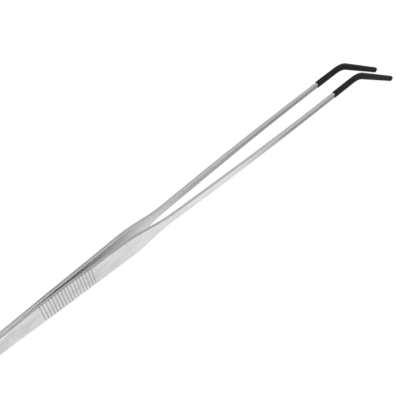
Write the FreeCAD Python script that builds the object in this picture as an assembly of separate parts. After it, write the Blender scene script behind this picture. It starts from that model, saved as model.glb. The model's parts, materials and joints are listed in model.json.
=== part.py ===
"""Long one-hand tweezers with edgewise bent tips in thin rubber sleeves.

Two steel strips lie face to face at the heel, where two spot welds hold them, and bow apart towards the jaws.
Each strip is drawn in its own tool frame: X from the heel end towards the jaws, Y across the jaw gap (+Y is the
left strip), Z along the width of the strip. At the end everything is turned and moved together, so that the
tweezers stand on the heel's lower corner and on both tips, with the origin under the middle of the whole.
"""

import FreeCAD
import Part

import math
import os

from FreeCAD import Vector

# Steel strips
TOTAL_LENGTH = 270.0  # heel end to the far end of the sleeved tip, along X
STRIP_THICKNESS = 1.8
HEEL_WIDTH = 9.0
GRIP_WIDTH = 11.5
SHANK_WIDTH = 4.0  # where the taper from the grip ends
NECK_WIDTH = 2.8  # from the sleeve's mouth to the end of the bend
POINT_WIDTH = 2.2  # at the far end of the steel
GRIP_START = 42.0
TAPER_START = 78.5
TAPER_LENGTH = 27.5
HEEL_CORNER = 3.5
EDGE_ROUND = 0.3

# Bend of the tips, in the plane of the strip's width
BEND_ANGLE = 36.5
BEND_RADIUS = 15.0  # of the strip's middle line
TIP_LENGTH = 41.0  # corner of the bend to the end of the sleeve

# Bow of the strips: heights of the curve's control points over the middle plane
BOW_REAR = 4.9
BOW_FRONT = 5.125
JAW_HALF_GAP = 4.85  # at the bend

# Heel
WELD_LENGTH = 16.0  # the strips lie flat together this far
SEAM = 0.04  # hairline between the two strips
WELD_RADIUS = 1.8
WELD_DEPTH = 0.8  # into each strip
WELD_COUNT = 2
WELD_MARGIN = 4.6  # from each end of the flat heel to the middle of its weld
WELD_CLEARANCE = 0.05
DIMPLE_RADIUS = 2.0
DIMPLE_DEPTH = 0.12

# Grip grooves, across the outer faces
GROOVE_START = 32.0
GROOVE_PITCH = 1.6
GROOVE_COUNT = 18
GROOVE_RADIUS = 0.45
GROOVE_DEPTH = 0.22

# Rubber sleeves
SLEEVE_LEAD = 20.0  # mouth to the corner of the bend
SLEEVE_WALL = 0.35
SLEEVE_CAP = 0.7  # rubber beyond the steel's end
SLEEVE_CORNER = 0.9
SLEEVE_END_ROUND = 0.8
SLEEVE_END_SIDE_WALL = 0.25

# Worked out from the sizes above
TURN = math.radians(BEND_ANGLE)
BEND_X = TOTAL_LENGTH - TIP_LENGTH * math.cos(TURN)
BEND_REACH = BEND_RADIUS * math.tan(TURN / 2)  # corner of the bend to where its arc starts
SLEEVE_START = BEND_X - SLEEVE_LEAD
TAPER_END = TAPER_START + TAPER_LENGTH
WELD_PITCH = (WELD_LENGTH - 2 * WELD_MARGIN) / (WELD_COUNT - 1)
WELD_STATIONS = [WELD_MARGIN + index * WELD_PITCH for index in range(WELD_COUNT)]
GAP_SLOPE = 4 * (JAW_HALF_GAP - BOW_FRONT) / (BEND_X - WELD_LENGTH)
SLEEVE_WIDTH = NECK_WIDTH + 2 * SLEEVE_WALL
SLEEVE_THICKNESS = STRIP_THICKNESS + 2 * SLEEVE_WALL
SLEEVE_END_WIDTH = POINT_WIDTH + 2 * SLEEVE_WALL
SLEEVE_END_THICKNESS = STRIP_THICKNESS + 2 * SLEEVE_END_SIDE_WALL
BEYOND = 2.0  # how far a cutting or crossing solid runs past what it meets


def side_point(along, up):
    """A point of the side view: X and Z."""
    return Vector(along, 0, up)


def tip_point(out, up):
    """A point of the bent tip's side view, out from the bend's corner along the tip and up across it."""
    x = BEND_X + out * math.cos(TURN) + up * math.sin(TURN)
    z = -out * math.sin(TURN) + up * math.cos(TURN)
    return Vector(x, 0, z)


def line(start, end):
    return Part.LineSegment(start, end).toShape()


def bezier(poles):
    curve = Part.BezierCurve()
    curve.setPoles(poles)
    return curve.toShape()


def ease(start, end, direction):
    """A curve from start to end that leaves and arrives along direction."""
    reach = (end - start).dot(direction) / 3
    return bezier([start, start + direction * reach, end - direction * reach, end])


def arc(start, middle, end):
    return Part.Arc(start, middle, end).toShape()


def bend_arc(side):
    """The outer (side 1) or inner (side -1) edge of the bend."""
    centre = side_point(BEND_X - BEND_REACH, -BEND_RADIUS)
    radius = BEND_RADIUS + side * NECK_WIDTH / 2
    points = [
        centre + Vector(math.sin(angle), 0, math.cos(angle)) * radius
        for angle in (0, TURN / 2, TURN)
    ]
    return arc(*points)


def strip_edge(side):
    """One long edge of the strip in side view, from the heel end to the start of the point."""
    level = Vector(1, 0, 0)
    tip_way = Vector(math.cos(TURN), 0, -math.sin(TURN))
    corner_turn = HEEL_CORNER * math.sqrt(0.5)
    heel = side * HEEL_WIDTH / 2
    grip = side * GRIP_WIDTH / 2
    shank = side * SHANK_WIDTH / 2
    neck = side * NECK_WIDTH / 2
    point = side * POINT_WIDTH / 2
    heel_side = side_point(HEEL_CORNER, heel)
    corner_start = side_point(0, heel - side * HEEL_CORNER)
    corner_middle = side_point(HEEL_CORNER - corner_turn, heel - side * (HEEL_CORNER - corner_turn))
    steel_end = TIP_LENGTH - SLEEVE_CAP - POINT_WIDTH / 2
    return [
        arc(corner_start, corner_middle, heel_side),
        ease(heel_side, side_point(GRIP_START, grip), level),
        line(side_point(GRIP_START, grip), side_point(TAPER_START, grip)),
        ease(side_point(TAPER_START, grip), side_point(TAPER_END, shank), level),
        ease(side_point(TAPER_END, shank), side_point(SLEEVE_START, neck), level),
        line(side_point(SLEEVE_START, neck), side_point(BEND_X - BEND_REACH, neck)),
        bend_arc(side),
        ease(tip_point(BEND_REACH, neck), tip_point(steel_end, point), tip_way),
    ]


def side_prism():
    """The strip's side view, carried across the whole jaw."""
    heel_edge = HEEL_WIDTH / 2 - HEEL_CORNER
    half_point = POINT_WIDTH / 2
    steel_end = TIP_LENGTH - SLEEVE_CAP - half_point
    nose = arc(
        tip_point(steel_end, half_point),
        tip_point(steel_end + half_point, 0),
        tip_point(steel_end, -half_point),
    )
    edges = strip_edge(1) + [nose] + strip_edge(-1)
    edges.append(line(side_point(0, -heel_edge), side_point(0, heel_edge)))
    wire = Part.Wire(Part.__sortEdges__(edges))
    reach = JAW_HALF_GAP + BOW_FRONT + STRIP_THICKNESS
    face = Part.Face(wire)
    face.translate(Vector(0, -BEYOND, 0))
    return face.extrude(Vector(0, reach + BEYOND, 0))


def bow_line(offset):
    """The strip's bow in top view, moved out by offset: flat at the heel, a quartic curve, straight past the bend."""
    flat_end = Vector(WELD_LENGTH, offset, 0)
    span = (BEND_X - WELD_LENGTH) / 4
    heights = (0, 0, BOW_REAR, BOW_FRONT, JAW_HALF_GAP)
    poles = [
        Vector(WELD_LENGTH + index * span, offset + height, 0)
        for index, height in enumerate(heights)
    ]
    run_out = TOTAL_LENGTH + BEYOND - BEND_X
    far_end = Vector(BEND_X + run_out, offset + JAW_HALF_GAP + GAP_SLOPE * run_out, 0)
    return [
        line(Vector(-BEYOND, offset, 0), flat_end),
        bezier(poles),
        line(poles[-1], far_end),
    ]


def top_prism():
    """The strip's top view, carried up and down past its whole width."""
    inner = bow_line(SEAM / 2)
    outer = bow_line(SEAM / 2 + STRIP_THICKNESS)
    heel_end = line(inner[0].Vertexes[0].Point, outer[0].Vertexes[0].Point)
    far_end = line(inner[-1].Vertexes[-1].Point, outer[-1].Vertexes[-1].Point)
    wire = Part.Wire(Part.__sortEdges__(inner + [far_end] + outer + [heel_end]))
    lowest = tip_point(TIP_LENGTH, -GRIP_WIDTH).z
    face = Part.Face(wire)
    face.translate(Vector(0, 0, lowest))
    return face.extrude(Vector(0, 0, GRIP_WIDTH - lowest))


def gap_height(x):
    """Height of the inner face over the middle plane at x."""
    if x <= WELD_LENGTH:
        return SEAM / 2
    share = (x - WELD_LENGTH) / (BEND_X - WELD_LENGTH)
    rest = 1 - share
    bow = (
        6 * rest**2 * share**2 * BOW_REAR
        + 4 * rest * share**3 * BOW_FRONT
        + share**4 * JAW_HALF_GAP
    )
    return SEAM / 2 + bow


def rim_edges(strip):
    """The edges round the strip's two broad faces, without the joints between the parts of one face."""
    found = []
    for edge in strip.Edges:
        middle = edge.valueAt((edge.FirstParameter + edge.LastParameter) / 2)
        way = edge.tangentAt((edge.FirstParameter + edge.LastParameter) / 2)
        across = abs(way.y) > 0.5
        upright = abs(way.z) > 0.99 and middle.x > HEEL_CORNER
        if not across and not upright:
            found.append(edge)
    return found


def grooves():
    """Round-bottomed grooves across the grip's outer face."""
    cutters = []
    for index in range(GROOVE_COUNT):
        x = GROOVE_START + index * GROOVE_PITCH
        y = gap_height(x) + STRIP_THICKNESS + GROOVE_RADIUS - GROOVE_DEPTH
        base = Vector(x, y, -GRIP_WIDTH)
        cutters.append(Part.makeCylinder(GROOVE_RADIUS, 2 * GRIP_WIDTH, base, Vector(0, 0, 1)))
    return cutters


def weld_marks():
    """The welds' seats in the inner face and the electrodes' shallow dimples in the outer face."""
    ball = (DIMPLE_RADIUS**2 + DIMPLE_DEPTH**2) / (2 * DIMPLE_DEPTH)
    outer_face = SEAM / 2 + STRIP_THICKNESS
    seat_depth = WELD_DEPTH + SEAM / 2 + WELD_CLEARANCE
    cutters = []
    for x in WELD_STATIONS:
        cutters.append(Part.makeSphere(ball, Vector(x, outer_face + ball - DIMPLE_DEPTH, 0)))
        seat = Part.makeCylinder(
            WELD_RADIUS + WELD_CLEARANCE, seat_depth, Vector(x, 0, 0), Vector(0, 1, 0)
        )
        cutters.append(seat)
    return cutters


def left_strip():
    """One steel strip: bow and side view crossed, rims rounded, then marked by grooves and welds."""
    strip = side_prism().common(top_prism())
    strip = strip.Solids[0].makeFillet(EDGE_ROUND, rim_edges(strip.Solids[0]))
    strip = strip.cut(grooves() + weld_marks())
    return strip.Solids[0]


def rounded_section(width, thickness, centre, level_way, up_way):
    """A closed rectangle with rounded corners: thickness along level_way, width along up_way."""
    half_level = thickness / 2
    half_up = width / 2
    radius = min(SLEEVE_CORNER, 0.45 * thickness)
    diagonal = radius * (1 - math.sqrt(0.5))

    def place(level, up):
        return centre + level_way * level + up_way * up

    edges = []
    for level_sign, up_sign in ((1, 1), (-1, 1), (-1, -1), (1, -1)):
        on_side = place(level_sign * half_level, up_sign * (half_up - radius))
        on_corner = place(level_sign * (half_level - diagonal), up_sign * (half_up - diagonal))
        on_top = place(level_sign * (half_level - radius), up_sign * half_up)
        edges.append(arc(on_side, on_corner, on_top))
    for up_sign in (1, -1):
        start = place(half_level - radius, up_sign * half_up)
        edges.append(line(start, place(-(half_level - radius), up_sign * half_up)))
    for level_sign in (1, -1):
        start = place(level_sign * half_level, half_up - radius)
        edges.append(line(start, place(level_sign * half_level, -(half_up - radius))))
    return Part.Wire(Part.__sortEdges__(edges))


def sleeve_place():
    """The corner of the sleeve's middle line, and the ways ahead, across and up there.

    The sleeve keeps the slope that the strips have at the bend."""
    middle = SEAM / 2 + JAW_HALF_GAP + STRIP_THICKNESS / 2
    corner = Vector(BEND_X, middle, 0)
    ahead = Vector(1, GAP_SLOPE, 0).normalize()
    across = Vector(-GAP_SLOPE, 1, 0).normalize()
    return corner, ahead, across, Vector(0, 0, 1)


def left_sleeve(strip):
    """The rubber over one tip: straight, round the bend, and tapering to a rounded end, bored by the strip."""
    corner, ahead, across, up = sleeve_place()
    mouth = corner - ahead * SLEEVE_LEAD
    bend_start = corner - ahead * BEND_REACH
    section = rounded_section(SLEEVE_WIDTH, SLEEVE_THICKNESS, mouth, across, up)
    lead = Part.Face(section).extrude(bend_start - mouth)
    section = rounded_section(SLEEVE_WIDTH, SLEEVE_THICKNESS, bend_start, across, up)
    turn_centre = bend_start - up * BEND_RADIUS
    elbow = Part.Face(section).revolve(turn_centre, across, BEND_ANGLE)
    tip_way = ahead * math.cos(TURN) - up * math.sin(TURN)
    tip_up = ahead * math.sin(TURN) + up * math.cos(TURN)
    bend_end = corner + tip_way * BEND_REACH
    far_end = corner + tip_way * TIP_LENGTH
    near = rounded_section(SLEEVE_WIDTH, SLEEVE_THICKNESS, bend_end, across, tip_up)
    far = rounded_section(SLEEVE_END_WIDTH, SLEEVE_END_THICKNESS, far_end, across, tip_up)
    point = Part.makeLoft([near, far], True, True)
    end_edges = [
        edge
        for edge in point.Edges
        if all((far_end - corner_point.Point).dot(tip_way) < 0.01 for corner_point in edge.Vertexes)
    ]
    point = point.makeFillet(SLEEVE_END_ROUND, end_edges)
    sleeve = lead.fuse([elbow, point]).removeSplitter()
    return sleeve.cut(strip).Solids[0]


def welds():
    """The two weld nuggets that hold the strips together, as one group of solids."""
    nuggets = []
    for x in WELD_STATIONS:
        base = Vector(x, -WELD_DEPTH, 0)
        nuggets.append(Part.makeCylinder(WELD_RADIUS, 2 * WELD_DEPTH, base, Vector(0, 1, 0)))
    return Part.makeCompound(nuggets)


def resting_place():
    """The turn and move that stand the tweezers on the heel's corner and the tips, over the origin's middle."""
    heel_centre = side_point(HEEL_CORNER, HEEL_CORNER - HEEL_WIDTH / 2)
    end_up = SLEEVE_END_WIDTH / 2 - SLEEVE_END_ROUND
    tip_centre = tip_point(TIP_LENGTH - SLEEVE_END_ROUND, -end_up)
    between = tip_centre - heel_centre
    slope = math.atan2(between.z, between.x)
    lean = -slope - math.asin((HEEL_CORNER - SLEEVE_END_ROUND) / between.Length)
    turn = FreeCAD.Rotation(Vector(0, 1, 0), -math.degrees(lean))
    lowest = turn.multVec(heel_centre).z - HEEL_CORNER
    rear_centre = side_point(HEEL_CORNER, HEEL_WIDTH / 2 - HEEL_CORNER)
    front_centre = tip_point(TIP_LENGTH - SLEEVE_END_ROUND, end_up)
    rear = turn.multVec(rear_centre).x - HEEL_CORNER
    front = turn.multVec(front_centre).x + SLEEVE_END_ROUND
    return FreeCAD.Placement(Vector(-(rear + front) / 2, 0, -lowest), turn)


def save(name, shape, place):
    placed = shape.copy()
    placed.transformShape(place.toMatrix())
    placed.exportStep(os.path.join("parts", name + ".step"))


def main():
    os.makedirs("parts", exist_ok=True)
    place = resting_place()
    strip = left_strip()
    sleeve = left_sleeve(strip)
    middle = Vector(0, 0, 0)
    across = Vector(0, 1, 0)
    save("left_arm", strip, place)
    save("right_arm", strip.mirror(middle, across), place)
    save("left_tip_sleeve", sleeve, place)
    save("right_tip_sleeve", sleeve.mirror(middle, across), place)
    save("heel_spot_welds", welds(), place)


main()
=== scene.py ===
"""The looks of long one-hand aquarium tweezers with bent tips in black rubber sleeves.

The steel strips and the sleeves are surfaces worked out with numpy in the tool's own frame: X from the heel
end to the jaws, Y across the jaw gap (+Y is the left strip), Z along the width of the strips. A matrix taken
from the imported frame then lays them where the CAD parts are. Lengths are in metres.
"""

import json
import math

import bmesh
import bpy
import numpy as np
from bpy.props import FloatProperty, FloatVectorProperty, IntProperty, PointerProperty
from bpy.types import Operator, Panel, PropertyGroup
from mathutils import Matrix, Vector


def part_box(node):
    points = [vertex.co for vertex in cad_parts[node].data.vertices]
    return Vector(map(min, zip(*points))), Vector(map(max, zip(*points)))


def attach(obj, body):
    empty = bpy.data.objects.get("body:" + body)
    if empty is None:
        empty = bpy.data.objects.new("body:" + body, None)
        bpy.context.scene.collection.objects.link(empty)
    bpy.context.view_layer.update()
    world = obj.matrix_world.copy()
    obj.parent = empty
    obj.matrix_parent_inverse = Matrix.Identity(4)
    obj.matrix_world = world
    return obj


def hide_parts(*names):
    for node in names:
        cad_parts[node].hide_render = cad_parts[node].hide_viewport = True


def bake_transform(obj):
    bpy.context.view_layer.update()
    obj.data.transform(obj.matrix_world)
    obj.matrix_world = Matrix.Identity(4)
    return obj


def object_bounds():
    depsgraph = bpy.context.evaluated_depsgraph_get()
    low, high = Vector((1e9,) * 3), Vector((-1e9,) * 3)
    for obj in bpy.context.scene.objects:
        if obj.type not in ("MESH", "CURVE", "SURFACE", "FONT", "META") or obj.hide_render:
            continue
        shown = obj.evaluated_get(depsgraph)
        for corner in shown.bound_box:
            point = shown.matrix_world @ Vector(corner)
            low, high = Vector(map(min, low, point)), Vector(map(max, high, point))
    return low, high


bl_info = {
    "name": "Aquarium tweezers",
    "version": (1, 0, 0),
    "blender": (4, 5, 0),
    "location": "3D View > Sidebar > Tweezers",
    "description": "Builds long steel tweezers with bent, rubber-sleeved tips, and a studio round them",
    "category": "Object",
}

MM = 0.001
FINE_STEP = 0.14 * MM  # between rows of points over the grooves and weld marks
COARSE_STEP = 1.0 * MM  # between rows of points elsewhere, and between the rings of a sleeve's bore
RING_STEP = 0.5 * MM  # between the rings of a sleeve's outside
FACE_COLUMNS = 27  # places across a broad face
OUTER_COLUMN = 0.985  # the outermost of them, as a share of the half width inside the rims
BESIDE_RIM = 1.08  # in rim radii from a broad face: the first line of points on the flat of an edge
DRAW_WAVES = (2.3 * MM, 3.7 * MM)  # lengths per radian of the two waves by which rubber draws in and out
END_CORNER = 0.08 * MM  # least corner radius on a sleeve's closed end
MERGE_DISTANCE = 0.0002 * MM  # points nearer to each other than this are one point
SHARP_ANGLE = math.radians(40.0)  # an edge that turns further than this is shaded sharp
BROAD_FACE = 0.7  # a face belongs to a broad side if more of its normal than this lies along Y
SIDES = {"left": 1.0, "right": -1.0}  # the sign of Y of each strip
FLOOR_RADIUS = 3.0
FLOOR_DROP = 0.02 * MM  # the floor lies this far under the tool
FLOOR_FALLOFF = (0.19, 0.45)  # distances from the middle between which the mirrored floor turns grey
FLOOR_GLOW = 1.1  # strength of the floor's white
FLOOR_GLOW_SHARE = 0.82  # of the white in the floor; the rest is lit paper, which keeps the tool's shadow
CEILING_START = 0.3  # sine of the elevation from which the room has the ceiling's brightness
CARD_HEIGHT = 0.4 * MM  # of the lying grey cards over the floor
SOFTBOX_DISTANCE = 0.9
SENSOR_WIDTH = 36.0  # of the camera, in millimetres
CLIP_RANGE = (0.01, 20.0)  # nearest and furthest that the camera sees
COLOURS = {"out": 2, "data_type": "RGBA"}  # has a Mix node mix colours, which are its inputs 6 and 7
PRODUCT = {"operation": "MULTIPLY", "use_clamp": True}  # has a Math node multiply shares

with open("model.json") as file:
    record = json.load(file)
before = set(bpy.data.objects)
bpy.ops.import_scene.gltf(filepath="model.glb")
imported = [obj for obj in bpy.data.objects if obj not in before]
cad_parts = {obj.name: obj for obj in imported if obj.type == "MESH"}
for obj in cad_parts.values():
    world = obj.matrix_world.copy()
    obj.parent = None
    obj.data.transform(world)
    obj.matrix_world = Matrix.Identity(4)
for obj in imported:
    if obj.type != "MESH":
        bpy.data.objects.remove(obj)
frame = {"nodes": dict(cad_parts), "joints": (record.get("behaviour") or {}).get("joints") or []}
CAD_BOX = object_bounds()


# Settings


def linear(hex_colour):
    """An sRGB hex colour as linear RGBA."""
    parts = [int(hex_colour[i : i + 2], 16) / 255 for i in (1, 3, 5)]
    return tuple(p / 12.92 if p <= 0.04045 else ((p + 0.055) / 1.055) ** 2.4 for p in parts) + (1.0,)


def size(name, description, millimetres):
    """A length setting, given in millimetres."""
    return FloatProperty(
        name=name,
        description=description,
        default=millimetres * MM,
        min=0.0,
        precision=5,
        subtype="DISTANCE",
        unit="LENGTH",
    )


def angle(name, description, degrees):
    """An angle setting, given in degrees."""
    return FloatProperty(
        name=name,
        description=description,
        default=math.radians(degrees),
        subtype="ANGLE",
        unit="ROTATION",
    )


def colour(name, description, hex_colour):
    """A colour setting, given as an sRGB hex value."""
    return FloatVectorProperty(
        name=name,
        description=description,
        default=linear(hex_colour),
        min=0.0,
        max=1.0,
        size=4,
        subtype="COLOR",
    )


def strength(name, description, value):
    """A strength setting without a unit."""
    return FloatProperty(name=name, description=description, default=value, min=0.0)


class StripSettings(PropertyGroup):
    """Sizes of one steel strip."""

    total_length: size("Total length", "Heel end to the end of the sleeved tip", 270.0)
    thickness: size("Thickness", "Thickness of the strip", 1.8)
    heel_width: size("Heel width", "Width of the strip behind the heel's corners", 9.0)
    grip_width: size("Grip width", "Width of the strip along the grip", 11.5)
    shank_width: size("Shank width", "Width of the strip where the quick taper ends", 4.0)
    neck_width: size("Neck width", "Width of the strip from the sleeve to the end of the bend", 2.8)
    point_width: size("Point width", "Width of the strip at its far end", 2.2)
    grip_start: size("Grip start", "Where the strip reaches the grip's width", 42.0)
    taper_start: size("Taper start", "Where the grip starts to narrow", 78.5)
    taper_length: size("Taper length", "Length of the quick taper from the grip to the shank", 27.5)
    heel_corner: size("Heel corner", "Radius of the heel's corners in side view", 3.5)
    edge_round: size("Edge round", "Radius of the rims round the broad faces", 0.3)
    bend_angle: angle("Bend angle", "How far the tips bend down", 36.5)
    bend_radius: size("Bend radius", "Radius of the bend's middle line", 15.0)
    tip_length: size("Tip length", "Corner of the bend to the end of the sleeve", 41.0)
    weld_length: size("Weld length", "How far the two strips lie flat together", 16.0)
    seam: size("Seam", "Hairline between the two strips at the heel", 0.04)
    bow_rear: size("Rear bow", "Height of the bow curve's rear control point", 4.9)
    bow_front: size("Front bow", "Height of the bow curve's front control point", 5.125)
    jaw_half_gap: size("Half gap", "Half the gap between the strips at the bend", 4.85)


class GripSettings(PropertyGroup):
    """The grip's grooves and the heel's weld marks."""

    groove_start: size("Groove start", "Heel end to the first groove", 32.0)
    groove_pitch: size("Groove pitch", "From one groove to the next", 1.6)
    groove_count: IntProperty(name="Groove count", description="Grooves on each arm", default=18, min=0)
    groove_half_width: size("Groove half width", "From a groove's middle to its worn lip", 0.42)
    groove_depth: size("Groove depth", "Depth of a groove below the outer face", 0.22)
    weld_margin: size("Weld margin", "From each end of the flat heel to the middle of its weld", 4.6)
    dimple_radius: size("Dimple radius", "Radius of the mark that a welding electrode left", 2.0)
    dimple_depth: size("Dimple depth", "Depth of that mark", 0.12)


class SleeveSettings(PropertyGroup):
    """Sizes of one rubber sleeve."""

    lead: size("Lead", "Mouth to the corner of the bend", 20.0)
    wall: size("Wall", "Thickness of the rubber", 0.35)
    cap: size("Cap", "Rubber beyond the steel's end", 0.7)
    corner: size("Corner", "Radius of the sleeve's long corners", 0.9)
    end_round: size("End round", "Radius round the closed end", 1.1)
    end_side_wall: size("End side wall", "Rubber beside the steel at the closed end", 0.25)
    end_bulge: size("End bulge", "How far the closed end's middle stands out", 0.05)
    shrink: size("Shrink", "How far the rubber draws in and out along its length", 0.02)


class FinishSettings(PropertyGroup):
    """Colours of the finishes."""

    steel_light: colour("Steel, light", "Brushed steel along a bright brush line", "#f4f4f4")
    steel_dark: colour("Steel, dark", "Brushed steel along a dark brush line", "#e0e0e0")
    # Painted shade: the inner faces are coloured a little darker than the outer ones, as shade between the
    # arms; their duller finish is in the roughness
    inner_painted_shade_light: colour("Inner steel, light", "The unpolished inner faces, light", "#ebebeb")
    inner_painted_shade_dark: colour("Inner steel, dark", "The unpolished inner faces, dark", "#dadada")
    scuffed: colour("Scuffed steel", "Steel of the grip, dulled by fine scratches", "#b9b9b9")
    # Painted highlight, partly polish from handling: the outer rims are coloured lighter than the brushed
    # faces
    rim: colour("Rim", "Rims that handling has polished", "#f5f5f5")
    # Painted shade: the groove floors are coloured darker, most at their middles, as shade in the grooves
    groove_painted_shade: colour("Groove floor", "The floor of a grip groove", "#8d8d8d")
    weld_straw: colour("Weld straw", "Heat tint round a weld mark", "#c9b48c")
    nugget: colour("Weld nugget", "Fused steel in the seam", "#8a8783")
    rubber_light: colour("Rubber, light", "Black rubber where it has dulled", "#2b2b2c")
    rubber_dark: colour("Rubber, dark", "Black rubber", "#171718")


class StudioSettings(PropertyGroup):
    """Camera, lamps and background."""

    azimuth: angle("Azimuth", "Camera's place round the tweezers", -41.737)
    elevation: angle("Elevation", "Camera's height over the tweezers", 48.696)
    roll: angle("Roll", "Camera's roll", -2.171)
    distance: size("Distance", "Camera to the point that it looks at", 349.1)
    aim_along: size("Aim along", "Heel end to the point that the camera looks at", 123.96)
    aim_side: size("Aim side", "From the middle plane to that point, towards the right arm", 7.2)
    aim_down: size("Aim down", "From the middle line down to that point", 7.45)
    lens: FloatProperty(name="Lens", description="Focal length in millimetres", default=62.738, min=1.0)
    ambient: strength("Ambient", "Strength of the studio's own light", 0.62)
    ceiling: strength("Ceiling", "How bright the ceiling looks in the steel", 0.55)
    side_card: strength("Side card", "How bright the grey cards beside the jaws look in the steel", 0.29)
    far_card: strength("Far card", "How bright the grey card beyond the left arm looks in the steel", 0.72)
    horizon: strength("Horizon", "How bright the far floor and the horizon look in the steel", 0.72)
    # Painted shadow: this card stands for the tool's shade on the floor under the gap, as the steel mirrors
    # it
    gap_shadow_card: strength("Under card", "How bright the grey card under the gap looks in the steel", 0.25)
    key_power: strength("Key power", "Power of the softbox over the heel, in watts", 1.6)
    side_power: strength("Side power", "Power of the low softbox beside the jaws, in watts", 0.5)


class TweezersSettings(PropertyGroup):
    """All the settings of the tweezers and their studio."""

    strip: PointerProperty(type=StripSettings)
    grip: PointerProperty(type=GripSettings)
    sleeve: PointerProperty(type=SleeveSettings)
    finish: PointerProperty(type=FinishSettings)
    studio: PointerProperty(type=StudioSettings)


# Where the tool lies


def tool_to_row(strip):
    """The matrix from the tool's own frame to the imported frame.

    The left hinge turns about the tool's -Z. The weld nuggets lie evenly about the middle of the flat
    heel."""
    flex = next(joint for joint in frame["joints"] if joint["name"] == "left_flex")
    up = -Vector(flex["axis"]).normalized()
    across = Vector((0.0, 1.0, 0.0))
    turn = Matrix((across.cross(up), across, up)).transposed().to_4x4()
    low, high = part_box("heel_spot_welds")
    heel_middle = Vector((strip.weld_length / 2, 0.0, 0.0))
    return Matrix.Translation((low + high) / 2 - turn @ heel_middle) @ turn


# The strips' shape


def ease(position, start, end, low, high):
    """A smooth step from low to high between start and end.

    Its formula is three times the share squared less twice the share cubed."""
    share = np.clip((position - start) / (end - start), 0.0, 1.0)
    return low + (high - low) * share * share * (3.0 - 2.0 * share)


def bend_corner(strip):
    """X of the corner where the middle lines before and after the bend would meet."""
    return strip.total_length - strip.tip_length * math.cos(strip.bend_angle)


def arc_start(strip):
    """Distance along the middle line to the start of the bend's arc."""
    return bend_corner(strip) - strip.bend_radius * math.tan(strip.bend_angle / 2)


def tip_distance(strip, out):
    """Distance along the middle line to a point that lies out from the bend's corner down the tip."""
    reach = strip.bend_radius * math.tan(strip.bend_angle / 2)
    return arc_start(strip) + strip.bend_radius * strip.bend_angle + out - reach


def side_place(strip, along, up):
    """Side-view X and Z of points given by their distance along the middle line and their height across it.

    Straight to the bend, round an arc of the bend's radius, then straight down the tip."""
    turned = np.clip((along - arc_start(strip)) / strip.bend_radius, 0.0, strip.bend_angle)
    before = np.minimum(along, arc_start(strip))
    beyond = np.maximum(along - arc_start(strip) - strip.bend_radius * strip.bend_angle, 0.0)
    reach = strip.bend_radius + up
    x = before + reach * np.sin(turned) + beyond * np.cos(turned)
    z = reach * np.cos(turned) - strip.bend_radius - beyond * np.sin(turned)
    return x, z


def bow_height(strip, x):
    """Height of a strip's inner face over the middle plane.

    Flat at the weld, then a quartic curve in Bernstein form, then its end tangent."""
    flat, corner = strip.weld_length, bend_corner(strip)
    share = np.clip((x - flat) / (corner - flat), 0.0, 1.0)
    rest = 1.0 - share
    rear = 6.0 * rest**2 * share**2 * strip.bow_rear
    front = 4.0 * rest * share**3 * strip.bow_front
    slope = 4.0 * (strip.jaw_half_gap - strip.bow_front) / (corner - flat)
    beyond = np.maximum(x - corner, 0.0) * slope
    return strip.seam / 2 + rear + front + share**4 * strip.jaw_half_gap + beyond


def steel_end(strip, sleeve):
    """Distance along the middle line to where the steel's round nose starts."""
    return tip_distance(strip, strip.tip_length - sleeve.cap - strip.point_width / 2)


def half_width(strip, sleeve, along):
    """Half the strip's width: smooth steps from the heel to the grip, the shank, the neck and the point."""
    taper_end = strip.taper_start + strip.taper_length
    mouth = bend_corner(strip) - sleeve.lead
    bend_end = arc_start(strip) + strip.bend_radius * strip.bend_angle
    steps = (
        (strip.heel_corner, strip.grip_start, strip.heel_width, strip.grip_width),
        (strip.taper_start, taper_end, strip.grip_width, strip.shank_width),
        (taper_end, mouth, strip.shank_width, strip.neck_width),
        (bend_end, steel_end(strip, sleeve), strip.neck_width, strip.point_width),
    )
    width = strip.heel_width + sum(
        ease(along, start, end, 0.0, after - before) for start, end, before, after in steps
    )
    return width / 2


def edge_line(strip, sleeve, grip):
    """The strip's upper edge in side view, from the flat of the heel to the tip of the nose.

    Gives four arrays: distance along the middle line, height over it, and the edge's outward normal in those
    two directions. The heel's corner and the nose are quarter circles. Between them the height is half the
    width."""
    quarter = np.linspace(0.0, math.pi / 2, 13)
    corner = strip.heel_corner
    heel_flat = strip.heel_width / 2 - corner
    nose = strip.point_width / 2
    far = steel_end(strip, sleeve)
    grooves_end = grip.groove_start + grip.groove_count * grip.groove_pitch
    body = np.concatenate(
        [np.arange(corner + FINE_STEP, grooves_end, FINE_STEP), np.arange(grooves_end, far, COARSE_STEP)]
    )
    step = FINE_STEP / 10
    slope = (half_width(strip, sleeve, body + step) - half_width(strip, sleeve, body - step)) / (2 * step)
    steep = np.hypot(slope, 1.0)
    along = np.concatenate([corner * (1 - np.cos(quarter)), body, far + nose * np.sin(quarter)])
    up = np.concatenate(
        [heel_flat + corner * np.sin(quarter), half_width(strip, sleeve, body), nose * np.cos(quarter)]
    )
    normal_along = np.concatenate([-np.cos(quarter), -slope / steep, np.sin(quarter)])
    normal_up = np.concatenate([np.sin(quarter), 1.0 / steep, np.cos(quarter)])
    return along, up, normal_along, normal_up


def edge_profile(strip):
    """Across the strip's thickness at its edge: height over the inner face, and how far in from the edge.

    A quarter circle, the flat edge, and a quarter circle."""
    rim = strip.edge_round
    quarter = np.linspace(0.0, math.pi / 2, 6)
    beside = rim * BESIDE_RIM
    flat = np.linspace(rim, strip.thickness - rim, 6)[1:-1]
    flat = np.concatenate([[beside], flat, [strip.thickness - beside]])
    height = np.concatenate(
        [rim * (1 - np.cos(quarter)), flat, strip.thickness - rim * (1 - np.sin(quarter))]
    )
    inset = np.concatenate([rim * (1 - np.sin(quarter)), np.zeros(len(flat)), rim * (1 - np.cos(quarter))])
    return height, inset


def face_columns():
    """Places across a broad face from its upper to its lower side, the outer two moved close to the rims."""
    even = np.linspace(1.0, -1.0, FACE_COLUMNS)
    return np.concatenate([[OUTER_COLUMN], even[1:-1], [-OUTER_COLUMN]])


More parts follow.
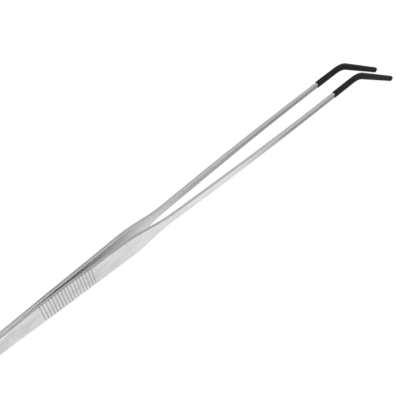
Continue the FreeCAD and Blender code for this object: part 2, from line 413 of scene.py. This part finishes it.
def groove_share(grip, x):
    """How deep a groove is at x, from 0 to 1: the square of a cosine about each groove's middle."""
    index = np.clip(np.round((x - grip.groove_start) / grip.groove_pitch), 0, grip.groove_count - 1)
    off = np.abs(x - grip.groove_start - index * grip.groove_pitch) / grip.groove_half_width
    return np.where(off < 1.0, np.cos(np.minimum(off, 1.0) * math.pi / 2) ** 2, 0.0)


def weld_distance(strip, grip, x, z):
    """Distance to the nearer weld's middle in side view, in dimple radii."""
    rear = grip.weld_margin
    front = strip.weld_length - grip.weld_margin
    near = np.minimum(np.hypot(x - rear, z), np.hypot(x - front, z))
    return near / grip.dimple_radius


def strip_points(strip, grip, along, up, height):
    """Tool-frame points of the left strip and their groove and weld marks.

    The side view is bent and bowed. Height over the inner face is cut down where a groove or a dimple is."""
    x, z = side_place(strip, along, up)
    groove = groove_share(grip, x)
    off_weld = weld_distance(strip, grip, x, z)
    dimple = np.maximum(1.0 - off_weld**2, 0.0) * grip.dimple_depth
    top = strip.thickness - np.maximum(groove * grip.groove_depth, dimple)
    y = bow_height(strip, x) + np.minimum(height, top)
    return np.stack([x, y, z], axis=-1), groove, off_weld


def grid_quads(rows, columns, closed):
    """Quads of a grid of rows by columns points, whose last column joins the first if closed."""
    row = np.arange(rows - 1)[:, None]
    column = np.arange(columns if closed else columns - 1)[None, :]
    after = (column + 1) % columns
    corners = [row * columns + column, (row + 1) * columns + column]
    corners += [(row + 1) * columns + after, row * columns + after]
    return np.stack(np.broadcast_arrays(*corners), axis=-1).reshape(-1, 4)


def strip_surface(settings):
    """The left strip as points, quads and point attributes.

    A closed loop round the section is carried along the edge line. Each loop point keeps a share of the
    width, an inset from the edge along its normal, and a height over the inner face. A second grid closes
    the heel's flat end."""
    strip, sleeve, grip = settings.strip, settings.sleeve, settings.grip
    along, up, normal_along, normal_up = (a[:, None] for a in edge_line(strip, sleeve, grip))
    edge_height, edge_inset = edge_profile(strip)
    columns = face_columns()
    rims = np.ones(len(edge_height))
    face = np.ones(len(columns))
    share = np.concatenate([rims, columns, -rims, -columns])
    inset = np.concatenate([edge_inset, face * strip.edge_round, edge_inset[::-1], face * strip.edge_round])
    height = np.concatenate([edge_height, face * strip.thickness, edge_height[::-1], face * 0.0])
    body_along = along - inset * normal_along
    body_up = share * (up - inset * normal_up)
    body, groove, off_weld = strip_points(strip, grip, body_along, body_up, height + 0 * along)
    cap_share = np.concatenate([[1.0], columns, [-1.0]])[None, :]
    cap_along = edge_inset[:, None] + 0 * cap_share
    cap_height = edge_height[:, None] + 0 * cap_share
    cap, _, cap_weld = strip_points(strip, grip, cap_along, cap_share * up[0], cap_height)
    points = np.concatenate([body.reshape(-1, 3), cap.reshape(-1, 3)])
    body_quads = grid_quads(len(along), len(share), True)
    cap_quads = grid_quads(len(edge_height), cap_share.size, False) + body.shape[0] * body.shape[1]
    half = strip.thickness / 2
    outer_half = height > half
    # Outer rims, which the steel colours lighter: partly polish from handling, partly a painted highlight
    on_rim = (inset > 0) & (inset < strip.edge_round) & outer_half
    body_marks = {
        "inner_face": np.broadcast_to(np.clip(1.0 - height / half, 0.0, 1.0), groove.shape),
        "rim": np.broadcast_to(np.where(on_rim, 1.0, 0.0), groove.shape),
        "groove": groove * outer_half,
        "off_weld": off_weld,
    }
    cap_marks = {"inner_face": 0.0, "rim": 0.0, "groove": 0.0, "off_weld": cap_weld}
    marks = {
        name: np.concatenate([mark.ravel(), np.broadcast_to(cap_marks[name], cap_weld.shape).ravel()])
        for name, mark in body_marks.items()
    }
    return points, np.concatenate([body_quads, cap_quads]), marks


# The sleeves' shape


def rounded_loop():
    """The pattern of a rounded rectangle's loop: its corner signs and its place on the unit circle.

    Gives four arrays. A point is the corner's centre plus the corner's radius times its place on the unit
    circle. That is linear in all four, so the points between two corners are mixes of their ends."""
    turns = np.linspace(0.0, math.pi / 2, 9)
    mixes = np.array([0.04, 0.35, 0.65, 0.96])[:, None]
    corners = []
    for quarter, (sign_y, sign_z) in enumerate(((1, 1), (-1, 1), (-1, -1), (1, -1))):
        turned = turns + quarter * math.pi / 2
        level = np.ones(len(turned))
        corners.append(np.stack([sign_y * level, sign_z * level, np.cos(turned), np.sin(turned)], axis=-1))
    loop = []
    for index, corner in enumerate(corners):
        start, end = corner[-1], corners[(index + 1) % 4][0]
        loop += [corner, start + mixes * (end - start)]
    return np.concatenate(loop).T


def sleeve_rings(strip, sleeve):
    """Rings of the sleeve from its closed end's middle to the mouth, and back along the bore to its end.

    Gives four arrays: distance along the middle line, half thickness, half width and corner radius. The
    closed end is rounded by a quarter circle, the body tapers in a straight line from the bend to the end,
    the mouth is a half circle over the wall, and the bore is the strip's own section."""
    end = tip_distance(strip, strip.tip_length)
    bend_end = arc_start(strip) + strip.bend_radius * strip.bend_angle
    mouth = bend_corner(strip) - sleeve.lead
    lip = sleeve.wall / 2

    def outline(along):
        """Half thickness and half width of the outside, less what the product of two waves draws in."""
        taper = np.clip((along - bend_end) / (end - bend_end), 0.0, 1.0)
        waves = np.sin(along / DRAW_WAVES[0]) * np.sin(along / DRAW_WAVES[1] + 1.0)
        wall = sleeve.wall - sleeve.shrink * (0.5 + 0.5 * waves)
        side = strip.thickness / 2 + wall + taper * (sleeve.end_side_wall - sleeve.wall)
        high = strip.neck_width / 2 + wall + taper * (strip.point_width - strip.neck_width) / 2
        return side, high

    dome = np.array([0.0, 0.3, 0.6, 0.85])
    turns = np.linspace(0.0, math.pi / 2, 9)
    side, high = outline(np.array(end))
    round_inset = sleeve.end_round * (1 - np.sin(turns))
    round_along = end - sleeve.end_bulge - sleeve.end_round * (1 - np.cos(turns))
    face_side, face_high = side - sleeve.end_round, high - sleeve.end_round
    body_along = np.arange(end - sleeve.end_round - RING_STEP, mouth + lip, -RING_STEP)
    body_side, body_high = outline(body_along)
    lip_turns = np.linspace(0.0, math.pi, 11)
    lip_side, lip_high = outline(np.array(mouth))
    bore_along = np.arange(mouth + lip + RING_STEP, steel_end(strip, sleeve), COARSE_STEP)
    nose = strip.point_width / 2
    along = [
        end - sleeve.end_bulge * dome**2,
        round_along,
        body_along,
        mouth + lip * (1 - np.sin(lip_turns)),
        bore_along,
        steel_end(strip, sleeve) + nose * np.sin(turns),
    ]
    lip_inset = lip * (1 - np.cos(lip_turns))
    steel_side = strip.thickness / 2
    halves = [
        face_side * dome,
        side - round_inset,
        body_side,
        lip_side - lip_inset,
        steel_side + 0 * bore_along,
        steel_side + 0 * turns,
    ]
    highs = [
        face_high * dome,
        high - round_inset,
        body_high,
        lip_high - lip_inset,
        half_width(strip, sleeve, bore_along),
        nose * np.cos(turns),
    ]
    corners = [
        END_CORNER * dome,
        np.maximum(sleeve.corner - round_inset, END_CORNER),
        sleeve.corner + 0 * body_along,
        np.maximum(sleeve.corner - lip_inset, strip.edge_round),
        strip.edge_round + 0 * bore_along,
        strip.edge_round * np.cos(turns),
    ]
    return tuple(np.concatenate(part)[:, None] for part in (along, halves, highs, corners))


def sleeve_surface(settings):
    """The left sleeve as points and quads, with no marks.

    Each ring is a rounded loop, and all are bent and bowed with the strip."""
    strip, sleeve = settings.strip, settings.sleeve
    along, side, high, corner = sleeve_rings(strip, sleeve)
    sign_y, sign_z, unit_y, unit_z = rounded_loop()
    corner = np.minimum(corner, np.minimum(side, high))
    across = sign_y * (side - corner) + corner * unit_y
    up = sign_z * (high - corner) + corner * unit_z
    x, z = side_place(strip, along + 0 * up, up)
    y = bow_height(strip, x) + strip.thickness / 2 + across
    points = np.stack([x, y, z], axis=-1).reshape(-1, 3)
    return points, grid_quads(up.shape[0], up.shape[1], True), {}


# Meshes and materials


def make_piece(name, matrix, side, points, quads, marks, material):
    """A mesh object from the left side's surface, mirrored for the right side, laid in place and closed.

    Seams and poles are merged, so the surface has no open edge, and all its faces point outwards."""
    placed = points * np.array([1.0, side, 1.0])
    rows = np.array(matrix)
    placed = placed @ rows[:3, :3].T + rows[:3, 3]
    mesh = bpy.data.meshes.new(name)
    mesh.from_pydata(placed, [], quads if side > 0 else quads[:, ::-1])
    for mark, values in marks.items():
        mesh.attributes.new(mark, "FLOAT", "POINT").data.foreach_set("value", values.astype(np.float32))
    shape = bmesh.new()
    shape.from_mesh(mesh)
    bmesh.ops.remove_doubles(shape, verts=shape.verts, dist=MERGE_DISTANCE)
    bmesh.ops.dissolve_degenerate(shape, edges=shape.edges, dist=MERGE_DISTANCE)
    open_edges = sum(1 for edge in shape.edges if not edge.is_contiguous)
    volume = shape.calc_volume(signed=True)
    shape.to_mesh(mesh)
    shape.free()
    if open_edges or volume <= 0:
        raise RuntimeError(f"{name}: {open_edges} open edges, volume {volume}")
    mesh.polygons.foreach_set("use_smooth", np.ones(len(mesh.polygons), bool))
    mesh.set_sharp_from_angle(angle=SHARP_ANGLE)
    mesh.materials.append(material)
    piece = bpy.data.objects.new(name, mesh)
    bpy.context.scene.collection.objects.link(piece)
    return piece


def new_material(name):
    """An empty node material and its tree."""
    material = bpy.data.materials.new(name)
    material.use_nodes = True
    material.node_tree.nodes.clear()
    return material, material.node_tree


def add(tree, kind, inputs=None, out=0, **settings):
    """Adds a node with its settings and its inputs, each a link from a socket or a plain value.

    Gives one of its outputs, or nothing if it has none."""
    node = tree.nodes.new(kind)
    for name, value in settings.items():
        setattr(node, name, value)
    for name, source in (inputs or {}).items():
        if isinstance(source, bpy.types.NodeSocket):
            tree.links.new(source, node.inputs[name])
        else:
            node.inputs[name].default_value = source
    return node.outputs[out] if node.outputs else None


def span(low, high, to_low=0.0, to_high=1.0):
    """The inputs that make a Map Range node map low..high to to_low..to_high."""
    return {"From Min": low, "From Max": high, "To Min": to_low, "To Max": to_high}


def tool_coordinates(tree, matrix):
    """Object coordinates turned and moved into the tool's own frame, in metres."""
    back = matrix.inverted()
    turn = {"Location": back.to_translation(), "Rotation": back.to_euler()}
    place = add(tree, "ShaderNodeTexCoord", out="Object")
    return add(tree, "ShaderNodeMapping", {"Vector": place, **turn})


def pattern(tree, place, millimetres, detail, roughness):
    """Noise whose features have the given real sizes along X, Y and Z."""
    scale = [1.0 / (length * MM) for length in millimetres]
    scaled = add(tree, "ShaderNodeVectorMath", {0: place, 1: scale}, operation="MULTIPLY")
    noise = {"Vector": scaled, "Scale": 1.0, "Detail": detail, "Roughness": roughness}
    return add(tree, "ShaderNodeTexNoise", noise)


def brushed_stainless(settings, matrix):
    """Stainless steel strip, ground and brushed along its length, bright outside and rougher inside, where
    its colour is darker as painted shade between the arms.

    The brush lines give long, soft streaks that stretch each reflection across the strip. Handling has
    scuffed the grip. The outer rims are painted lighter, partly polish from handling and partly a painted
    highlight; the groove floors are painted darker, as shade in the grooves; and the weld marks have a faint
    straw-coloured ring."""
    finish = settings.finish
    grip_end = settings.strip.taper_start
    material, tree = new_material("brushed_stainless_steel")
    place = tool_coordinates(tree, matrix)
    marks = {
        name: add(tree, "ShaderNodeAttribute", out="Fac", attribute_name=name)
        for name in ("inner_face", "rim", "groove", "off_weld")
    }
    brush = pattern(tree, place, (22, 0.5, 0.5), 4.0, 0.6)  # coarser than the real 0.1 mm, to show
    hairline = pattern(tree, place, (7, 0.14, 0.14), 2.0, 0.5)
    smudge = pattern(tree, place, (16, 6, 6), 2.0, 0.5)
    blotch = pattern(tree, place, (9, 2.5, 2.5), 3.0, 0.5)

    streak = add(tree, "ShaderNodeMapRange", {"Value": brush, **span(0.3, 0.7)})
    outer = add(tree, "ShaderNodeMix", {0: streak, 6: finish.steel_dark, 7: finish.steel_light}, **COLOURS)
    # Inner faces: painted shade between the arms, darker than the outer steel
    inner = add(tree, "ShaderNodeMix", {0: streak, 6: finish.inner_painted_shade_dark, 7: finish.inner_painted_shade_light}, **COLOURS)

    reach = add(tree, "ShaderNodeSeparateXYZ", {0: place}, "X")
    fading = span(grip_end - 10 * MM, grip_end + 40 * MM, 1.0, 0.0)
    gripped = add(tree, "ShaderNodeMapRange", {"Value": reach, **fading})
    patches = add(tree, "ShaderNodeMapRange", {"Value": blotch, **span(0.35, 0.65, 0.4, 0.7)})
    scuff = add(tree, "ShaderNodeMath", {0: gripped, 1: patches}, **PRODUCT)
    outer = add(tree, "ShaderNodeMix", {0: scuff, 6: outer, 7: finish.scuffed}, **COLOURS)
    steel = add(tree, "ShaderNodeMix", {0: marks["inner_face"], 6: outer, 7: inner}, **COLOURS)

    # Outer rims: lighter in patches, partly polish from handling and partly a painted highlight
    rubbed = add(tree, "ShaderNodeMapRange", {"Value": smudge, **span(0.3, 0.6, 0.35, 1.0)})
    rim_polish_and_highlight = add(tree, "ShaderNodeMath", {0: marks["rim"], 1: rubbed}, **PRODUCT)
    steel = add(tree, "ShaderNodeMix", {0: rim_polish_and_highlight, 6: steel, 7: finish.rim}, **COLOURS)

    # Groove floors: painted shade, darkest at each groove's middle
    groove_shade_tone = add(tree, "ShaderNodeMapRange", {"Value": brush, **span(0.2, 0.6, 0.5, 0.9)})
    dark = add(tree, "ShaderNodeMath", {0: marks["groove"], 1: groove_shade_tone}, **PRODUCT)
    steel = add(tree, "ShaderNodeMix", {0: dark, 6: steel, 7: finish.groove_painted_shade}, **COLOURS)

    inside = add(tree, "ShaderNodeMapRange", {"Value": marks["off_weld"], **span(0.75, 1.0)})
    outside = add(tree, "ShaderNodeMapRange", {"Value": marks["off_weld"], **span(1.0, 1.7, 1.0, 0.0)})
    ring = add(tree, "ShaderNodeMath", {0: inside, 1: outside}, **PRODUCT)
    tint = add(tree, "ShaderNodeMapRange", {"Value": smudge, **span(0.3, 0.7, 0.1, 0.35)})
    heat = add(tree, "ShaderNodeMath", {0: ring, 1: tint}, **PRODUCT)
    steel = add(tree, "ShaderNodeMix", {0: heat, 6: steel, 7: finish.weld_straw}, **COLOURS)

    satin = add(tree, "ShaderNodeMapRange", {"Value": brush, **span(0.3, 0.7, 0.26, 0.36)})
    dull = add(tree, "ShaderNodeMath", {0: marks["inner_face"], 1: 0.1}, **PRODUCT)
    touched = add(tree, "ShaderNodeMapRange", {"Value": smudge, **span(0.35, 0.65, -0.03, 0.05)})
    roughness = add(tree, "ShaderNodeMath", {0: satin, 1: dull})
    roughness = add(tree, "ShaderNodeMath", {0: roughness, 1: touched})
    shader = {
        "Base Color": steel,
        "Metallic": 1.0,
        "Roughness": roughness,
        "Anisotropic": 0.45,
        "Normal": add(tree, "ShaderNodeBump", {"Height": hairline, "Strength": 0.15, "Distance": 0.01 * MM}),
        "Tangent": add(tree, "ShaderNodeTangent", direction_type="UV_MAP", uv_map="UVMap"),
    }
    add(tree, "ShaderNodeOutputMaterial", {"Surface": add(tree, "ShaderNodeBsdfPrincipled", shader)})
    return material


def weld_steel(settings, matrix):
    """Resistance-welded stainless steel, fused and left as it cooled: dull, pitted and slightly brown."""
    finish = settings.finish
    material, tree = new_material("fused_weld_steel")
    pits = pattern(tree, tool_coordinates(tree, matrix), (0.4, 0.4, 0.4), 4.0, 0.6)
    brown = add(tree, "ShaderNodeMapRange", {"Value": pits, **span(0.3, 0.7)})
    fused = {0: brown, 6: finish.nugget, 7: finish.weld_straw}
    shader = {
        "Base Color": add(tree, "ShaderNodeMix", fused, **COLOURS),
        "Metallic": 1.0,
        "Roughness": add(tree, "ShaderNodeMapRange", {"Value": pits, **span(0.3, 0.7, 0.4, 0.6)}),
        "Normal": add(tree, "ShaderNodeBump", {"Height": pits, "Strength": 0.5, "Distance": 0.03 * MM}),
    }
    add(tree, "ShaderNodeOutputMaterial", {"Surface": add(tree, "ShaderNodeBsdfPrincipled", shader)})
    return material


def moulded_rubber(settings, matrix):
    """Dip-moulded black rubber: satin, with a fine grain and a slightly greyer bloom where it is rubbed."""
    finish = settings.finish
    material, tree = new_material("dip_moulded_black_rubber")
    place = tool_coordinates(tree, matrix)
    bloom = pattern(tree, place, (5, 2.5, 2.5), 3.0, 0.6)
    grain = pattern(tree, place, (0.25, 0.25, 0.25), 3.0, 0.6)  # coarser than the real, to show
    dulled = add(tree, "ShaderNodeMapRange", {"Value": bloom, **span(0.35, 0.7)})
    rubber = {0: dulled, 6: finish.rubber_dark, 7: finish.rubber_light}
    shader = {
        "Base Color": add(tree, "ShaderNodeMix", rubber, **COLOURS),
        "Roughness": add(tree, "ShaderNodeMapRange", {"Value": bloom, **span(0.3, 0.7, 0.42, 0.56)}),
        "Specular IOR Level": 0.2,
        "Normal": add(tree, "ShaderNodeBump", {"Height": grain, "Strength": 0.35, "Distance": 0.04 * MM}),
    }
    add(tree, "ShaderNodeOutputMaterial", {"Surface": add(tree, "ShaderNodeBsdfPrincipled", shader)})
    return material


def add_uv(piece, matrix):
    """A UV map whose V runs along the tool, so that the steel's tangent lies across its brush lines."""
    mesh = piece.data
    rows = np.array(matrix.inverted())
    place = np.zeros(len(mesh.vertices) * 3)
    mesh.vertices.foreach_get("co", place)
    tool = place.reshape(-1, 3) @ rows[:3, :3].T + rows[:3, 3]
    normals = np.zeros(len(mesh.polygons) * 3)
    mesh.polygons.foreach_get("normal", normals)
    broad = np.abs(normals.reshape(-1, 3)[:, 1]) > BROAD_FACE
    corner = np.zeros(len(mesh.loops), int)
    mesh.loops.foreach_get("vertex_index", corner)
    counts = np.zeros(len(mesh.polygons), int)
    mesh.polygons.foreach_get("loop_total", counts)
    across = np.where(np.repeat(broad, counts), tool[corner, 2], tool[corner, 1])
    uv = np.stack([across, tool[corner, 0]], axis=-1)
    mesh.uv_layers.new(name="UVMap").data.foreach_set("uv", uv.astype(np.float32).ravel())


# Stage


def seen_rays(tree):
    """1 for rays that show the background: from the camera, mirrored, or through glass."""
    path = add(tree, "ShaderNodeLightPath").node.outputs
    bounces = {0: path["Is Glossy Ray"], 1: path["Is Transmission Ray"]}
    bounced = add(tree, "ShaderNodeMath", bounces, operation="MAXIMUM")
    return add(tree, "ShaderNodeMath", {0: path["Is Camera Ray"], 1: bounced}, operation="MAXIMUM")


def studio_floor(studio):
    """A wide sheet of matt white studio paper, dimmed where the tool shades it.

    It looks white to the camera. In reflections it is white near the tweezers and falls off to grey
    beyond."""
    mesh = bpy.data.meshes.new("studio_floor")
    turns = np.linspace(0.0, 2 * math.pi, 96, endpoint=False)
    rim = np.stack([FLOOR_RADIUS * np.cos(turns), FLOOR_RADIUS * np.sin(turns), 0 * turns], axis=-1)
    mesh.from_pydata(rim, [], [list(range(len(turns)))])
    floor = bpy.data.objects.new("studio_floor", mesh)
    floor.location.z = -FLOOR_DROP
    bpy.context.scene.collection.objects.link(floor)
    material, tree = new_material("matt_studio_paper")
    paper = add(tree, "ShaderNodeBsdfDiffuse", {"Color": linear("#f2f2f2")})
    place = add(tree, "ShaderNodeTexCoord", out="Object")
    radius = add(tree, "ShaderNodeVectorMath", {0: place}, "Value", operation="LENGTH")
    fall = span(*FLOOR_FALLOFF, 1.0, studio.horizon)
    mirrored = add(tree, "ShaderNodeMapRange", {"Value": radius, **fall})
    camera = add(tree, "ShaderNodeLightPath", out="Is Camera Ray")
    white = add(tree, "ShaderNodeMath", {0: mirrored, 1: camera}, operation="MAXIMUM")
    glow = add(tree, "ShaderNodeMath", {0: white, 1: FLOOR_GLOW}, operation="MULTIPLY")
    share = add(tree, "ShaderNodeMath", {0: seen_rays(tree), 1: FLOOR_GLOW_SHARE}, **PRODUCT)
    layers = {0: share, 1: paper, 2: add(tree, "ShaderNodeEmission", {"Strength": glow})}
    add(tree, "ShaderNodeOutputMaterial", {"Surface": add(tree, "ShaderNodeMixShader", layers)})
    mesh.materials.append(material)


def grey_card(name, corner, along, across, fade, grey):
    """A rectangular grey card with soft edges, seen only in the steel's reflections.

    It is spanned by two vectors from its corner. It fades in over the first fade[0] metres along the first
    one, and over fade[1] metres from both sides along the second."""
    mesh = bpy.data.meshes.new(name)
    corners = [corner, corner + along, corner + along + across, corner + across]
    mesh.from_pydata(corners, [], [(0, 1, 2, 3)])
    length, width = along.length, across.length
    reach = mesh.uv_layers.new(name="UVMap").data
    reach.foreach_set("uv", np.array([0, 0, length, 0, length, width, 0, width]))
    card = bpy.data.objects.new(name, mesh)
    bpy.context.scene.collection.objects.link(card)
    material, tree = new_material(f"soft_edged_{name}")
    place = add(tree, "ShaderNodeUVMap", uv_map="UVMap")
    split = add(tree, "ShaderNodeSeparateXYZ", {0: place}).node.outputs
    start = add(tree, "ShaderNodeMapRange", {"Value": split["X"], **span(0.0, fade[0])})
    lower = add(tree, "ShaderNodeMapRange", {"Value": split["Y"], **span(0.0, fade[1])})
    upper = add(tree, "ShaderNodeMapRange", {"Value": split["Y"], **span(width - fade[1], width, 1.0, 0.0)})
    sides = add(tree, "ShaderNodeMath", {0: lower, 1: upper}, **PRODUCT)
    cover = add(tree, "ShaderNodeMath", {0: start, 1: sides}, **PRODUCT)
    clear = add(tree, "ShaderNodeBsdfTransparent")
    layers = {0: cover, 1: clear, 2: add(tree, "ShaderNodeEmission", {"Strength": grey})}
    add(tree, "ShaderNodeOutputMaterial", {"Surface": add(tree, "ShaderNodeMixShader", layers)})
    mesh.materials.append(material)
    card.visible_camera = False
    card.visible_diffuse = False
    card.visible_shadow = False
    card.visible_transmission = False


def hang_cards(settings, matrix):
    """Three cards lie over the floor: beside the jaws, under the gap and beyond the left arm. The one under
    the gap is a painted shadow of the tool, seen only in the steel.

    A fourth stands beside the jaws, on the right arm's side."""
    studio = settings.studio
    length = settings.strip.total_length
    past = Vector((length, 0.0, 0.0))
    jaws = (matrix @ Vector((0.55 * length, 0.0, 0.0))).x
    gap = (matrix @ Vector((0.35 * length, 0.0, 0.0))).x
    heel = CAD_BOX[0].x - 60 * MM
    # Name, X and Y of the corner, reach, width, what fades in along and across, brightness
    lying = (
        ("side_card", jaws, -120 * MM, past, 109 * MM, (50 * MM, 6 * MM), studio.side_card),
        # Painted shadow under the gap, seen only in the steel
        ("gap_shadow_card", gap, -14 * MM, past, 44 * MM, (40 * MM, 4 * MM), studio.gap_shadow_card),
        ("far_card", heel, 18 * MM, past * 2, 150 * MM, (20 * MM, 10 * MM), studio.far_card),
    )
    for name, x, y, reach, width, fade, grey in lying:
        corner = Vector((x, y, CARD_HEIGHT))
        grey_card(name, corner, reach, Vector((0.0, width, 0.0)), fade, grey)
    corner = Vector((jaws + 75 * MM, -60 * MM, 0.0))
    upright = Vector((0.0, 0.0, 60 * MM))
    grey_card("standing_card", corner, past, upright, (25 * MM, 1 * MM), studio.side_card)


def studio_world(studio):
    """A plain grey studio. The camera sees white, and the steel mirrors a horizon and a dimmer ceiling."""
    world = bpy.data.worlds.new("studio")
    bpy.context.scene.world = world
    world.use_nodes = True
    tree = world.node_tree
    tree.nodes.clear()
    strengths = {"room": studio.ambient, "horizon": studio.horizon, "ceiling": studio.ceiling, "white": 1.0}
    light = {
        name: add(tree, "ShaderNodeBackground", {"Color": (1, 1, 1, 1), "Strength": value})
        for name, value in strengths.items()
    }
    way = add(tree, "ShaderNodeTexCoord", out="Generated")
    height = add(tree, "ShaderNodeSeparateXYZ", {0: way}, "Z")
    overhead = add(tree, "ShaderNodeMapRange", {"Value": height, **span(0.0, CEILING_START)})
    mirrored = add(tree, "ShaderNodeMixShader", {0: overhead, 1: light["horizon"], 2: light["ceiling"]})
    lit = add(tree, "ShaderNodeMixShader", {0: seen_rays(tree), 1: light["room"], 2: mirrored})
    camera = add(tree, "ShaderNodeLightPath", out="Is Camera Ray")
    shown = add(tree, "ShaderNodeMixShader", {0: camera, 1: lit, 2: light["white"]})
    add(tree, "ShaderNodeOutputWorld", {"Surface": shown})


def direction(azimuth, elevation):
    """The unit vector from a point towards a viewer at that azimuth and elevation.

    Azimuth 0 looks along +Y."""
    level = math.cos(elevation)
    return Vector((math.sin(azimuth) * level, -math.cos(azimuth) * level, math.sin(elevation)))


def softbox(name, aim, azimuth, elevation, width, height, power):
    """A rectangular softbox that faces aim from the given direction, in degrees."""
    light = bpy.data.lights.new(name, "AREA")
    light.shape = "RECTANGLE"
    light.size = width
    light.size_y = height
    light.energy = power
    lamp = bpy.data.objects.new(name, light)
    back = direction(math.radians(azimuth), math.radians(elevation))
    lamp.location = aim + back * SOFTBOX_DISTANCE
    lamp.rotation_mode = "QUATERNION"
    lamp.rotation_quaternion = back.to_track_quat("Z", "Y")
    bpy.context.scene.collection.objects.link(lamp)


def add_camera(settings, matrix):
    """The camera behind and above the heel, aimed beside the middle of the tool."""
    studio = settings.studio
    aim = matrix @ Vector((studio.aim_along, -studio.aim_side, -studio.aim_down))
    back = direction(studio.azimuth, studio.elevation)
    level = Vector((math.cos(studio.azimuth), math.sin(studio.azimuth), 0.0))
    right = level * math.cos(studio.roll) + back.cross(level) * math.sin(studio.roll)
    turn = Matrix((right, back.cross(right), back)).transposed()
    lens = bpy.data.cameras.new("camera")
    lens.lens = studio.lens
    lens.sensor_width = SENSOR_WIDTH
    lens.clip_start, lens.clip_end = CLIP_RANGE
    camera = bpy.data.objects.new("camera", lens)
    camera.matrix_world = Matrix.Translation(aim + back * studio.distance) @ turn.to_4x4()
    bpy.context.scene.collection.objects.link(camera)
    bpy.context.scene.camera = camera


# Operators


class TWEEZERS_OT_arms(Operator):
    """Build both steel arms in place of the plain CAD strips"""

    bl_idname = "tweezers.arms"
    bl_label = "Steel arms"

    def execute(self, context):
        settings = context.scene.tweezers
        matrix = tool_to_row(settings.strip)
        steel = brushed_stainless(settings, matrix)
        surface = strip_surface(settings)
        for hand, side in SIDES.items():
            arm = make_piece(f"{hand}_steel_arm", matrix, side, *surface, steel)
            add_uv(arm, matrix)
            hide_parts(f"{hand}_arm")
            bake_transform(arm)
        return {"FINISHED"}


class TWEEZERS_OT_sleeves(Operator):
    """Build both rubber tip sleeves in place of the plain CAD sleeves"""

    bl_idname = "tweezers.sleeves"
    bl_label = "Rubber sleeves"

    def execute(self, context):
        settings = context.scene.tweezers
        matrix = tool_to_row(settings.strip)
        rubber = moulded_rubber(settings, matrix)
        surface = sleeve_surface(settings)
        for hand, side in SIDES.items():
            sleeve = make_piece(f"{hand}_rubber_sleeve", matrix, side, *surface, rubber)
            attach(sleeve, f"{hand}_jaw")
            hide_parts(f"{hand}_tip_sleeve")
        return {"FINISHED"}


class TWEEZERS_OT_welds(Operator):
    """Finish the two weld nuggets between the heels"""

    bl_idname = "tweezers.welds"
    bl_label = "Weld nuggets"

    def execute(self, context):
        settings = context.scene.tweezers
        nuggets = frame["nodes"]["heel_spot_welds"]
        nuggets.data.materials.clear()
        nuggets.data.materials.append(weld_steel(settings, tool_to_row(settings.strip)))
        return {"FINISHED"}


class TWEEZERS_OT_studio(Operator):
    """Lay the floor, hang the lamps and place the camera"""

    bl_idname = "tweezers.studio"
    bl_label = "Studio"

    def execute(self, context):
        settings = context.scene.tweezers
        studio = settings.studio
        matrix = tool_to_row(settings.strip)
        middle = (CAD_BOX[0] + CAD_BOX[1]) / 2
        studio_floor(studio)
        studio_world(studio)
        hang_cards(settings, matrix)
        key = {"azimuth": -70.0, "elevation": 65.0, "width": 0.5, "height": 0.5}
        side = {"azimuth": 24.0, "elevation": 27.0, "width": 0.4, "height": 0.3}
        softbox("key_softbox", middle, power=studio.key_power, **key)
        softbox("side_softbox", middle, power=studio.side_power, **side)
        add_camera(settings, matrix)
        context.scene.view_settings.view_transform = "Standard"
        return {"FINISHED"}


class TWEEZERS_PT_panel(Panel):
    """The tweezers' settings and their build steps"""

    bl_idname = "TWEEZERS_PT_panel"
    bl_label = "Aquarium tweezers"
    bl_space_type = "VIEW_3D"
    bl_region_type = "UI"
    bl_category = "Tweezers"

    def draw(self, context):
        settings = context.scene.tweezers
        for group in (settings.strip, settings.grip, settings.sleeve, settings.finish, settings.studio):
            box = self.layout.box()
            for name in group.__annotations__:
                box.prop(group, name)
        for operator in OPERATORS:
            self.layout.operator(operator.bl_idname)


GROUPS = (StripSettings, GripSettings, SleeveSettings, FinishSettings, StudioSettings, TweezersSettings)
OPERATORS = (TWEEZERS_OT_arms, TWEEZERS_OT_sleeves, TWEEZERS_OT_welds, TWEEZERS_OT_studio)


def register():
    """Registers the settings, the operators and the panel."""
    for group in (*GROUPS, *OPERATORS, TWEEZERS_PT_panel):
        bpy.utils.register_class(group)
    bpy.types.Scene.tweezers = PointerProperty(type=TweezersSettings)


def unregister():
    """Removes them again, in reverse order."""
    del bpy.types.Scene.tweezers
    for group in reversed((*GROUPS, *OPERATORS, TWEEZERS_PT_panel)):
        bpy.utils.unregister_class(group)


def main():
    """Registers the add-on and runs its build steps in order."""
    register()
    bpy.ops.tweezers.arms()
    bpy.ops.tweezers.sleeves()
    bpy.ops.tweezers.welds()
    bpy.ops.tweezers.studio()


if __name__ == "__main__":
    main()
